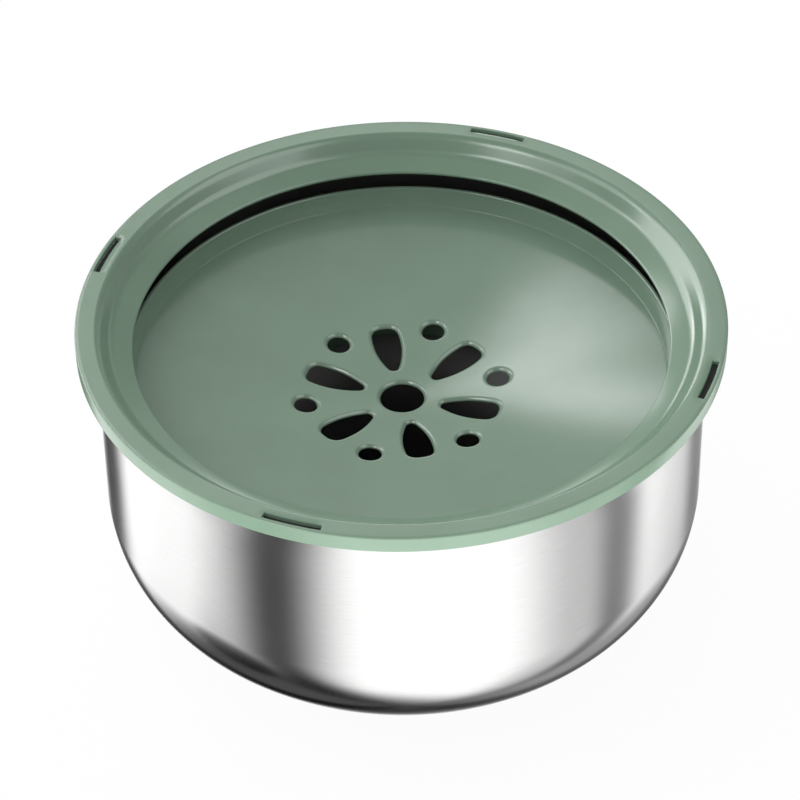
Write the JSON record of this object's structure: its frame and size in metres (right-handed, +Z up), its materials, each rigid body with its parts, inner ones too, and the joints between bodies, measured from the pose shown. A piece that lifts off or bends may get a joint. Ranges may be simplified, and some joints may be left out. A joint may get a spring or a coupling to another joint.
{
  "type": "no-spill water bowl",
  "caption": "Round polished steel pet water bowl with a clip-on splash ring and a perforated floating dish that lets water up slowly and keeps it from slopping out.",
  "frame": {"origin": "centre of the base, on the surface that the bowl stands on", "axes": "+Z up along the axis of the bowl, +X and +Y level, the pictured front towards -Y"},
  "size_m": [0.22, 0.22, 0.1154],
  "materials": {
    "steel": "polished stainless sheet",
    "ring_plastic": "satin moulded sage green",
    "float_plastic": "satin moulded sage green",
    "cover_plastic": "satin moulded sage green",
    "grip_silicone": "matt silicone",
    "seal_silicone": "matt silicone"
  },
  "bodies": {
    "bowl": {"bowl_shell": "steel", "base_ring": "grip_silicone"},
    "ring": {"splash_ring": "ring_plastic", "rim_seal": "seal_silicone"},
    "float": {"float_dish": "float_plastic", "float_cover": "cover_plastic"}
  },
  "joints": [
    {"name": "ring_lift", "type": "slide", "parent": "bowl", "child": "ring", "axis": [0, 0, 1], "range_m": [0, 0.06]},
    {"name": "float_travel", "type": "slide", "parent": "bowl", "child": "float", "axis": [0, 0, 1], "range_m": [-0.0632, 0.0076], "stiffness_N_per_m": 20, "springref_m": 0.049}
  ]
}
